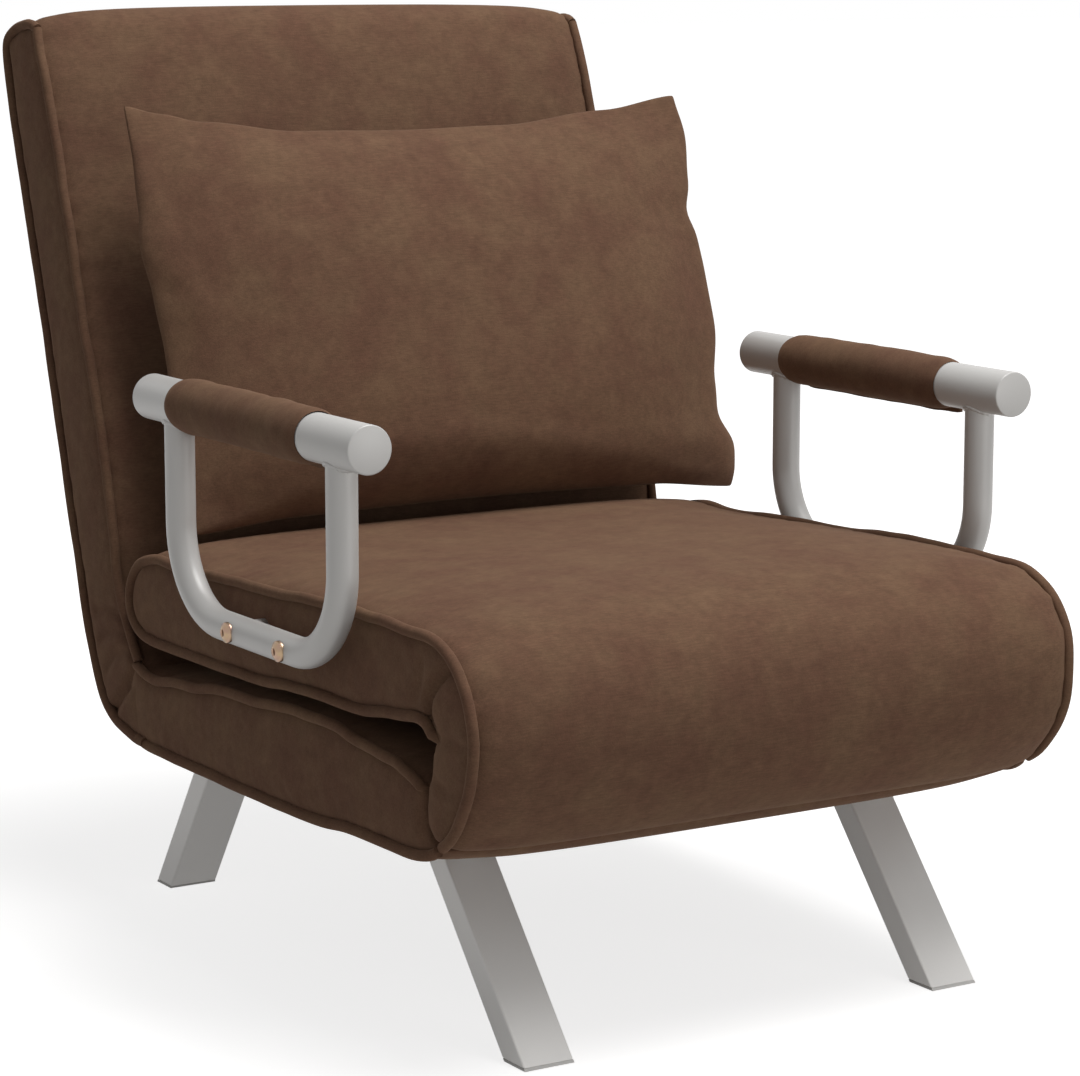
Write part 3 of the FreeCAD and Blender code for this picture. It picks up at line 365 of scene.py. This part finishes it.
def sewn_body(name, runs):
    """The closed cover inside an outline, evenly meshed, still flat between its seams."""
    outline = [point for run in runs for point in smooth_run(run)[:-1]]
    bm = bmesh.new()
    loop = [bm.verts.new((-seam_half_width, p.y, p.z)) for p in outline]
    panel = bm.faces.new(loop)
    made = bmesh.ops.extrude_face_region(bm, geom=[panel])["geom"]
    bmesh.ops.translate(bm, verts=[g for g in made if isinstance(g, bmesh.types.BMVert)],
                        vec=(2 * seam_half_width, 0, 0))
    rough = finished(name + "_rough", bm, suede)
    even = rough.modifiers.new("even", "REMESH")
    even.mode = "VOXEL"
    even.voxel_size = cover_grid
    return plain_piece(name, rough), outline


def near(points):
    """A measure of how far a place lies from a line of points, seen from the side."""
    tree = kdtree.KDTree(len(points))
    for index, point in enumerate(points):
        tree.insert((0, point.y, point.z), index)
    tree.balance()
    return lambda place: tree.find((0, place.y, place.z))[2]


def swell(piece, held, room, pressure=4.0, spare=0.0, crown=None):
    """Let foam fill the cover: a crown of shaped foam, then cloth under pressure, held at its seams,
    that moves only as far as its room."""
    normals = [v.normal.copy() for v in piece.data.vertices]
    flat = [v.co.copy() for v in piece.data.vertices]
    if crown:
        flat = [start + normal * crown(start, normal) for start, normal in zip(flat, normals)]
        for vertex, start in zip(piece.data.vertices, flat):
            vertex.co = start
        piece.data.update()
    seams = piece.vertex_groups.new(name="seams")
    seams.add(held, 1.0, "REPLACE")
    cloth = piece.modifiers.new("swell", "CLOTH")
    cloth.settings.vertex_group_mass = seams.name
    cloth.settings.use_pressure = True
    cloth.settings.uniform_pressure_force = pressure
    cloth.settings.shrink_min = -spare
    cloth.settings.effector_weights.gravity = 0
    for number in range(1, cloth_frames + 1):
        bpy.context.scene.frame_set(number)
    swollen = piece.evaluated_get(bpy.context.evaluated_depsgraph_get()).to_mesh()
    places = [v.co.copy() for v in swollen.vertices]
    piece.modifiers.remove(cloth)
    piece.vertex_groups.remove(seams)
    bpy.context.scene.frame_set(1)
    for vertex, start, end, normal in zip(piece.data.vertices, flat, places, normals):
        limit = room(start, normal)
        move = end - start
        if move.length > 1e-9:
            vertex.co = start + move.normalized() * limit * math.tanh(move.length / limit)
    piece.data.update()


def soften(piece, held):
    """Even out a cover away from its seams, and halve its grid. Returns the finer piece."""
    bm = bmesh.new()
    bm.from_mesh(piece.data)
    bm.verts.ensure_lookup_table()
    kept = {bm.verts[index] for index in held}
    loose = [v for v in bm.verts if v not in kept]
    for _ in range(2):
        bmesh.ops.smooth_vert(bm, verts=loose, factor=0.5, use_axis_x=True, use_axis_y=True, use_axis_z=True)
    bm.to_mesh(piece.data)
    bm.free()
    fine = piece.modifiers.new("fine", "SUBSURF")
    fine.levels = fine.render_levels = 1
    return plain_piece(piece.name, piece)


def cushion(name, runs, room, crown, stitched=()):
    """One filled cushion, sewn along its outline. Each line on its side panels sinks by its own depth."""
    piece, outline = sewn_body(name, runs)
    from_outline = near(outline)
    held = [v.index for v in piece.data.vertices
            if abs(v.co.x) > seam_half_width - 0.6 * cover_grid and from_outline(v.co) < 0.6 * cover_grid]
    crown_reach = 34 * mm

    def foam(place, normal):
        """How far the foam stands out: nothing at the seam, all of it a little way from it."""
        if abs(normal.x) > 0.9:
            return 0
        inside = max(0, seam_half_width - abs(place.x))
        return crown(place, normal) * (1 - math.exp(-inside / crown_reach))

    swell(piece, held, room, crown=foam)
    piece = soften(piece, held)
    piece.name = name
    sunk = [(near(smooth_run(run, 2 * mm)), depth * mm) for depth, run in stitched]
    pucker_reach, pucker_size, pucker_depth = 14 * mm, 12 * mm, 0.9 * mm
    sink_width, seam_width, seam_depth = 4 * mm, 5 * mm, 1.6 * mm
    normals = [v.normal.copy() for v in piece.data.vertices]
    for vertex, normal in zip(piece.data.vertices, normals):
        place = vertex.co.copy()
        at_side = abs(place.x) > seam_half_width - 2 * mm
        away = from_outline(place) if at_side else seam_half_width - abs(place.x)
        across = 4 if at_side else 0.25
        ripple = noise.noise(Vector((place.x * across, place.y, place.z)) / pucker_size)
        share = max(0, away) / pucker_reach
        vertex.co += normal * ripple * pucker_depth * share * math.exp(1 - share)
        vertex.co -= normal * seam_depth * math.exp(-((away - seam_width) / seam_width) ** 2)
        for from_line, depth in sunk:
            if at_side:
                sink = depth * math.exp(-(from_line(place) / sink_width) ** 2)
                vertex.co.x -= math.copysign(sink, place.x)
    return piece


def piping(name, cover, runs, tucked=None):
    """Piping: a cord in a strip of the same suede, sewn into a cover's seam on both sides. The end
    that shows, first (0) or last (-1), is tucked into the cover."""
    radius, proud, smoothings = 4.4 * mm, 2.728 * mm, 6
    tuck_depth = 2.6 * radius
    bm = bmesh.new()
    bm.from_mesh(cover.data)
    surface = bvhtree.BVHTree.FromBMesh(bm)
    bm.free()
    curve = bpy.data.curves.new(name, "CURVE")
    curve.dimensions = "3D"
    curve.bevel_depth = radius
    curve.bevel_resolution = 4
    curve.use_fill_caps = True
    for x in (-seam_half_width, seam_half_width):
        for run in runs:
            found = [surface.find_nearest((x, p.y, p.z)) for p in smooth_run(run, 6 * mm)]
            places = [place + normal * proud for place, normal, _, _ in found]
            for _ in range(smoothings):
                places = [places[0]] + [(before + 2 * place + after) / 4 for before, place, after
                                        in zip(places, places[1:], places[2:])] + [places[-1]]
            if tucked is not None:
                places[tucked] = places[tucked] - found[tucked][1] * tuck_depth
            line = curve.splines.new("POLY")
            line.points.add(len(places) - 1)
            for point, place in zip(line.points, places):
                point.co = (*place, 1)
    shape = bpy.data.objects.new(name, curve)
    bpy.context.scene.collection.objects.link(shape)
    piece = plain_piece(name, shape)
    piece.name = name
    return piece


# Lower cushion. It lies on the legs' plates, and its frame is inside. The panel's front end is sewn to
# the nose, and its rear end to the corner under the back.
base_bottom_run = [(174, 160), (115, 156), (-46, 155), (-143, 158), (-236, 162), (-298, 164), (-330, 166),
                   (-357, 176)]
base_front_run = [(-357, 176), (-347, 180), (-339, 186), (-333, 197), (-335, 213), (-334, 220)]
base_top_run = [(-334, 220), (-330, 224), (-302, 232), (-263, 237), (-169, 242), (-28, 237), (93, 226),
                (128, 222), (158, 225), (170, 231)]
base_rear_run = [(170, 231), (184, 214), (182, 186), (174, 160)]


def base_room(place, normal):
    """How far the lower cushion can swell: little upwards, where the upper one lies."""
    if abs(normal.x) > 0.7:
        return panel_room
    return 3 * mm if normal.z > 0 else 4 * mm


def base_crown(place, normal):
    """The foam stands out below the frame, most at the front."""
    return 7 * mm if normal.z < -0.3 and place.y < -250 * mm else 3 * mm if normal.z < 0 else 1 * mm


base_cushion = cushion("base_cushion", [base_bottom_run, base_front_run, base_top_run, base_rear_run],
                       base_room, base_crown)
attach(base_cushion, "base")
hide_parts("base_cover", "base_foam")
base_piping = piping("base_piping", base_cushion, [base_bottom_run, base_top_run], tucked=0)
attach(base_piping, "base")

# Upper cushion and nose. The strip of the lower cushion's underside carries on round the front fold and
# over the seat, so the nose bends with the seat. The arms are bolted through its side panels.
nose_run = [(-357, 176), (-367, 183), (-393, 215), (-405.5, 252), (-403.5, 287), (-384.5, 320),
            (-350, 338)]
seat_top_run = [(-350, 338), (-282, 340), (-180, 338), (-51, 332), (70, 327), (121, 328), (149, 323),
                (167, 313), (177, 297), (180, 276), (169, 261), (155, 253)]
seat_bottom_run = [(155, 253), (130, 250), (54, 251), (-98, 256), (-237, 262), (-316, 271), (-335, 272),
                   (-346, 265), (-347, 260)]
crease_run = [(-347, 260), (-342, 253), (-339, 241), (-336, 228), (-334, 218), (-333, 198), (-339, 184),
              (-357, 176)]
nose_folds = [[(-352, 262), (-370, 266), (-392, 264)], [(-348, 231), (-366, 226), (-384, 229)],
              [(-322, 288), (-330, 302), (-332, 318)]]
nose_seam_upper = [(-339, 271), (-339, 282), (-342, 292), (-351, 304), (-364, 314), (-377, 321)]


def seat_room(place, normal):
    """How far the upper cushion can swell: most over the seat and the nose, little where cushions meet."""
    if abs(normal.x) > 0.7:
        return panel_room
    if normal.z > 0.3 or (normal.y < -0.3 and place.y < fold_y - 12 * mm):
        return 6 * mm
    return 3 * mm


def seat_crown(place, normal):
    """The foam stands out over the seat and round the nose, and hardly where cushions meet."""
    if place.y > fold_y - 6 * mm and normal.z < 0.2 and normal.y < 0.7:
        return 1 * mm
    return 11 * mm if normal.y < -0.5 else 9 * mm


seat_cushion = cushion("seat_cushion", [nose_run, seat_top_run, seat_bottom_run, crease_run],
                       seat_room, seat_crown, [(9, nose_seam_upper), *[(2.5, fold) for fold in nose_folds]])
seat_seam = nose_run + seat_top_run[1:] + seat_bottom_run[1:]
seat_piping = piping("seat_piping", seat_cushion, [seat_seam], tucked=-1)
for piece in (seat_cushion, seat_piping):
    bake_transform(piece)
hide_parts("seat_cover", "seat_foam", "nose_cover", "nose_foam")

# Back. It stands on two ratchet hinges inside the soft corner that joins it to the lower cushion.
corner_run = [(150, 158), (189, 161), (214, 168), (233, 180), (245, 197), (265, 242), (282, 297)]
back_rear_run = [(282, 297), (302, 361), (343, 502), (385, 635), (404, 691), (413, 732), (419, 750)]
back_top_run = [(419, 750), (416, 760), (407, 765), (392, 770), (369, 775), (357, 776), (350, 770)]
back_front_run = [(350, 770), (335, 741), (322, 705), (289, 609), (265, 525), (236, 449), (217, 373),
                  (203, 315), (198, 281), (190, 264), (180, 252), (166, 230)]
back_joint_run = [(166, 230), (152, 212), (150, 184), (150, 158)]
corner_folds = [[(196, 264), (216, 268), (246, 262)], [(188, 251), (210, 250), (238, 238)],
                [(180, 240), (204, 231), (226, 214)]]
corner_seam = [(196, 265), (184, 246), (175, 234), (170, 224), (176, 212), (190, 199), (203, 188), (220, 174)]


def back_room(place, normal):
    """How far the back can swell."""
    return panel_room if abs(normal.x) > 0.7 else 5 * mm


def back_crown(place, normal):
    """The foam stands out most over the top."""
    if normal.z > 0.6:
        return 10 * mm
    return 5 * mm if normal.y < 0 else 2 * mm


back_cushion = cushion("back_cushion",
                       [corner_run, back_rear_run, back_top_run, back_front_run, back_joint_run],
                       back_room, back_crown, [(6, corner_seam), *[(3.5, fold) for fold in corner_folds]])
back_seam = corner_run + back_rear_run[1:] + back_top_run[1:]
back_piping = piping("back_piping", back_cushion, [back_seam, back_front_run])
recline_axis = Vector((0, recline_y, recline_z))
for piece in (back_cushion, back_piping):
    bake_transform(piece)
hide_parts("back_cover", "back_foam", "corner_cover", "corner_foam")

# Arm sleeves. A strip of the same suede over thin wadding, wrapped round each bar. Its long edges are
# sewn together under the bar, where they hang as a narrow flap.
sleeve_front, sleeve_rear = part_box("arm_sleeve_left")[0].y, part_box("arm_sleeve_left")[1].y
sleeve_radius = 22.6 * mm
flap_drop, flap_thickness, flap_end = 10 * mm, 2.6 * mm, 2 * mm
flap_across, flap_down = 0.62 * sleeve_radius, 0.74 * sleeve_radius
crumple_size, crumple_depth = 22 * mm, 0.9 * mm
tuck_reach, tuck_depth = 5 * mm, 3 * mm
length_cuts = 40


def lengths(bm):
    """The edges of a mesh that run along the bar."""
    return [e for e in bm.edges if abs(e.verts[0].co.y - e.verts[1].co.y) > 1 * mm]


for side, outwards in (("left", 1), ("right", -1)):
    bm = bmesh.new()
    bmesh.ops.create_cone(bm, cap_ends=False, segments=48, radius1=sleeve_radius, radius2=sleeve_radius,
                          depth=sleeve_rear - sleeve_front, matrix=Matrix.Rotation(math.pi / 2, 4, "X"))
    sleeve_middle = (sleeve_front + sleeve_rear) / 2
    bmesh.ops.translate(bm, verts=bm.verts, vec=(outwards * arm_x, sleeve_middle, bar_height))
    flap_x = outwards * arm_x + flap_across
    flap_top = bar_height - flap_down
    add_box(bm, (flap_x - flap_thickness / 2, sleeve_front + flap_end, flap_top - flap_drop),
            (flap_x + flap_thickness / 2, sleeve_rear - flap_end, flap_top + flap_end))
    bmesh.ops.subdivide_edges(bm, edges=lengths(bm), cuts=length_cuts)
    sleeve = finished(f"arm_sleeve_suede_{side}", bm, suede)
    for vertex in sleeve.data.vertices:
        from_end = min(vertex.co.y - sleeve_front, sleeve_rear - vertex.co.y)
        tuck = math.exp(-from_end / tuck_reach) * tuck_depth
        crumple = noise.noise(vertex.co / crumple_size) * crumple_depth
        outward = Vector((vertex.co.x - outwards * arm_x, 0, vertex.co.z - bar_height)).normalized()
        vertex.co += outward * (crumple - tuck)
    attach(sleeve, "seat")
    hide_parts(f"arm_sleeve_{side}")

# Arm bolts. Four flanged button-head bolts with a hexagon socket, zinc plated and yellow passivated.
# They go through the U's lower tubes and the spacers into the seat's frame.
flange_radius, dome_radius, dome_height = 8.4 * mm, 7 * mm, 4.2 * mm
socket_radius, socket_depth, socket_rim = 3 * mm, 2.4 * mm, 0.4 * mm
bolt_profile = [(socket_radius, dome_height - socket_depth), (socket_radius, dome_height),
                (socket_radius + socket_rim, dome_height * 0.97), (5.4 * mm, dome_height * 0.76),
                (dome_radius - 0.3 * mm, 2.2 * mm), (dome_radius, 1.6 * mm),
                (flange_radius - 0.4 * mm, 1.5 * mm), (flange_radius, 0.9 * mm), (flange_radius, -1.5 * mm)]


def yellow_zinc_finish():
    """Yellow passivated zinc: a thin film whose tint drifts from gold to rose and green."""
    material, tree, shader, place = new_material("yellow_zinc")
    drift = add(tree, "TexNoise", {"Vector": place, "Scale": 1 / (5 * mm), "Detail": 2.0})
    warm = add(tree, "Mix", {0: drift.outputs["Fac"], 6: to_linear("#a39468"), 7: to_linear("#a07a7c")},
               data_type="RGBA")
    tree.links.new(warm.outputs[2], shader.inputs["Base Color"])
    shader.inputs["Metallic"].default_value = 1.0
    shader.inputs["Roughness"].default_value = 0.3
    return material


yellow_zinc = yellow_zinc_finish()
bm = bmesh.new()
for outwards in (1, -1):
    for bolt_y in bolt_places:
        seat_x = outwards * (arm_x + tube_radius)
        ring = [bm.verts.new((seat_x + outwards * height, bolt_y + reach, tube_height))
                for reach, height in bolt_profile]
        edges = [bm.edges.new(pair) for pair in zip(ring, ring[1:])]
        bmesh.ops.spin(bm, geom=ring + edges, cent=(seat_x, bolt_y, tube_height), axis=(1, 0, 0),
                       angle=2 * math.pi, steps=36, use_merge=True)
        socket = bmesh.ops.create_cone(bm, cap_ends=True, segments=6, radius1=3.3 * mm, radius2=3.3 * mm,
                                       depth=2 * mm, matrix=Matrix.Rotation(math.pi / 2, 4, "Y"))["verts"]
        floor_x = seat_x + outwards * (dome_height - 3 * mm)
        bmesh.ops.translate(bm, verts=socket, vec=(floor_x, bolt_y, tube_height))
bmesh.ops.remove_doubles(bm, verts=bm.verts, dist=1e-6)
bolts = finished("arm_bolt_heads", bm, yellow_zinc)
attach(bolts, "seat")
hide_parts("arm_bolts")

# Pillow. A loose scatter cushion of the same suede, without piping, that leans on the back and stands
# on the seat. Its corners pull out into points as it is filled.
pillow_left = [(96, -246), (150, -250), (235, -249), (262, -249), (306, -252), (350, -257), (386, -253),
               (430, -251), (481, -252)]
pillow_right = [(92, 318), (118, 328), (139, 331), (169, 317), (198, 320), (255, 329), (304, 328),
                (338, 326), (363, 319), (391, 327), (440, 333), (477, 327)]
pillow_top = [(-252, 481), (-215, 473), (-178, 465), (-81, 454), (22, 452), (128, 454), (240, 465),
              (327, 477)]
pillow_foot = [(-252, 96), (-150, 103), (40, 105), (230, 102), (327, 93)]
pillow_low, pillow_high = 97, 479
pillow_rim_off = 82 * mm
pillow_room, pillow_pressure, pillow_spare = 7 * mm, 3.0, 0.015
pillow_columns, pillow_rows = 72, 48
pillow_front_full, pillow_rear_full, pillow_sag = 66 * mm, 64 * mm, 19 * mm


def along_line(knots, place):
    """The height of a smooth line through knots at a place along it."""
    place = min(max(place, knots[0][0]), knots[-1][0])
    for (start, low), (end, high) in zip(knots, knots[1:]):
        if place <= end:
            share = (place - start) / (end - start)
            return low + (high - low) * share * share * (3 - 2 * share)


def pillow_body():
    """Two panels sewn round their rim and filled, fuller towards the foot, set against the back. The
    powers say how square the filling is across and up, and how steeply it leaves the rim."""
    across_power, top_power, foot_power, rim_power, foot_fuller = 2.4, 2.6, 3.6, 0.62, 0.16
    bm = bmesh.new()
    bmesh.ops.create_grid(bm, x_segments=pillow_columns, y_segments=pillow_rows, size=1)
    front = bm.verts[:]
    rear = [g for g in bmesh.ops.duplicate(bm, geom=bm.verts[:] + bm.edges[:] + bm.faces[:])["geom"]
            if isinstance(g, bmesh.types.BMVert)]
    for verts, full in ((front, pillow_front_full), (rear, -pillow_rear_full)):
        for vertex in verts:
            u, v = vertex.co.x, vertex.co.y
            up = pillow_low + (v + 1) / 2 * (pillow_high - pillow_low)
            left, right = along_line(pillow_left, up), along_line(pillow_right, up)
            across = left + (u + 1) / 2 * (right - left)
            foot, top = along_line(pillow_foot, across), along_line(pillow_top, across)
            up = foot + (v + 1) / 2 * (top - foot)
            up_power = top_power if v > 0 else foot_power
            inside = max(0, (1 - abs(u) ** across_power) * (1 - abs(v) ** up_power))
            fill = inside ** rim_power * (1 - foot_fuller * v)
            if full > 0:
                up -= pillow_sag / mm * fill * min(v, 0) ** 2
            vertex.co = (across * mm, up * mm, pillow_rim_off + full * fill)
    rim = [v for v in bm.verts if v.is_boundary]
    bmesh.ops.remove_doubles(bm, verts=rim, dist=0.1 * mm)
    piece = finished("pillow", bm, suede)
    held = [v.index for v in piece.data.vertices if abs(v.co.z - pillow_rim_off) < 0.01 * mm]
    swell(piece, held, lambda place, normal: pillow_room, pillow_pressure, pillow_spare)
    piece = soften(piece, held)
    upright = Matrix.Translation(recline_axis) @ Matrix.Rotation(math.pi / 2 - lean, 4, "X")
    piece.data.transform(upright)
    return piece


pillow = pillow_body()
pillow.name = "pillow"
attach(pillow, "pillow")
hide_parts("pillow_cover", "pillow_fill")

# Hidden hardware. In each cushion a frame of welded square tube, dipped black, carries strips of woven
# webbing. Zinc-plated hinges and ratchets are screwed to the frames. All of it keeps its CAD shape.


def plated_finish():
    """Bright zinc plate on hinge steel: fine drawn lines and a cool grey."""
    material, tree, shader, place = new_material("zinc_plated_steel")
    streak = add(tree, "TexNoise", {"Vector": place, "Scale": 1 / (2 * mm), "Detail": 3.0})
    tint = add(tree, "Mix", {0: streak.outputs["Fac"], 6: to_linear("#9a9c9e"), 7: to_linear("#b4b6b8")},
               data_type="RGBA")
    tree.links.new(tint.outputs[2], shader.inputs["Base Color"])
    shader.inputs["Metallic"].default_value = 1.0
    shader.inputs["Roughness"].default_value = 0.35
    return material


def frame_steel_finish():
    """Black dipped steel: a thin uneven coat."""
    material, tree, shader, place = new_material("black_dipped_steel")
    coat = add(tree, "TexNoise", {"Vector": place, "Scale": 1 / (15 * mm), "Detail": 3.0})
    tint = add(tree, "Mix", {0: coat.outputs["Fac"], 6: to_linear("#1d1d1e"), 7: to_linear("#2a2a2b")},
               data_type="RGBA")
    tree.links.new(tint.outputs[2], shader.inputs["Base Color"])
    shader.inputs["Roughness"].default_value = 0.45
    return material


def webbing_finish():
    """Woven polypropylene webbing: ribs across the strip."""
    material, tree, shader, place = new_material("woven_webbing")
    rib = add(tree, "TexWave", {"Vector": place, "Scale": 1 / (18 * mm), "Distortion": 0.5})
    tint = add(tree, "Mix", {0: rib.outputs["Fac"], 6: to_linear("#232323"), 7: to_linear("#3a3a3a")},
               data_type="RGBA")
    tree.links.new(tint.outputs[2], shader.inputs["Base Color"])
    shader.inputs["Roughness"].default_value = 0.8
    return material


plated, dipped, woven = plated_finish(), frame_steel_finish(), webbing_finish()
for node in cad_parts:
    if node.endswith("_frame"):
        give(node, dipped)
    elif node.endswith("_straps"):
        give(node, woven)
    elif "hinge" in node or "ratchet" in node or node == "leg_bolts":
        give(node, plated)

# Camera, floor and light. The photograph was taken in front of the chair's right-hand side and a little
# above it, with a long lens, in a white studio under a large soft lamp.
floor_reach, glow_near, glow_far = 30, 0.77, 0.97
glow_from, glow_to = 0.5, 1.8
fill_level = 0.2


def seen_directly(tree):
    """1 for rays that look at a thing, also in a mirror or through glass, and 0 for the light it gives."""
    rays = tree.nodes.new("ShaderNodeLightPath")
    seen = add(tree, "Math", {0: rays.outputs["Is Camera Ray"], 1: rays.outputs["Is Glossy Ray"]},
               operation="MAXIMUM")
    seen = add(tree, "Math", {0: seen.outputs[0], 1: rays.outputs["Is Transmission Ray"]},
               operation="MAXIMUM")
    return seen.outputs[0]


camera_data = bpy.data.cameras.new("camera")
camera_data.lens = 115.18
camera_data.sensor_width = 36
camera = bpy.data.objects.new("camera", camera_data)
camera.location = (-1.53427, -2.51202, 0.83959)
camera_turn, camera_tilt = math.radians(-31.859), math.radians(9.688)
camera.rotation_euler = (math.pi / 2 - camera_tilt, 0, camera_turn)
bpy.context.scene.collection.objects.link(camera)
bpy.context.scene.camera = camera

bm = bmesh.new()
bmesh.ops.create_grid(bm, x_segments=1, y_segments=1, size=floor_reach)
floor_material, tree, shader, place = new_material("studio_floor")
floor = finished("floor", bm, floor_material, smooth=False)
shader.inputs["Base Color"].default_value = to_linear("#c0bfbe")
shader.inputs["Roughness"].default_value = 0.9
shader.inputs["Specular IOR Level"].default_value = 0.0
out_there = add(tree, "VectorMath", {0: place}, operation="LENGTH")
level = add(tree, "MapRange", {"Value": out_there.outputs["Value"], "From Min": glow_from,
                               "From Max": glow_to, "To Min": glow_near, "To Max": glow_far})
glow = add(tree, "Math", {0: seen_directly(tree), 1: level.outputs["Result"]}, operation="MULTIPLY")
tree.links.new(glow.outputs[0], shader.inputs["Emission Strength"])
shader.inputs["Emission Color"].default_value = (1, 1, 1, 1)

world = bpy.data.worlds.new("studio")
bpy.context.scene.world = world
world.use_nodes = True
tree = world.node_tree
level = add(tree, "MapRange", {"Value": seen_directly(tree), "To Min": fill_level, "To Max": 1.0})
tree.links.new(level.outputs["Result"], tree.nodes["Background"].inputs["Strength"])
tree.nodes["Background"].inputs["Color"].default_value = (1, 1, 1, 1)


def add_lamp(name, place, aim, size, power):
    """A large soft box that points at a place."""
    data = bpy.data.lights.new(name, "AREA")
    data.size = size
    data.energy = power
    lamp = bpy.data.objects.new(name, data)
    lamp.location = place
    lamp.rotation_euler = (Vector(aim) - Vector(place)).to_track_quat("-Z", "Y").to_euler()
    bpy.context.scene.collection.objects.link(lamp)


add_lamp("key_lamp", (0.7, -0.8, 3.7), (0, 0, 0.4), 2.0, 106)
add_lamp("low_lamp", (0.9, -3.0, 0.4), (0, 0, 0.1), 1.5, 15)
bpy.context.scene.view_settings.view_transform = "Standard"
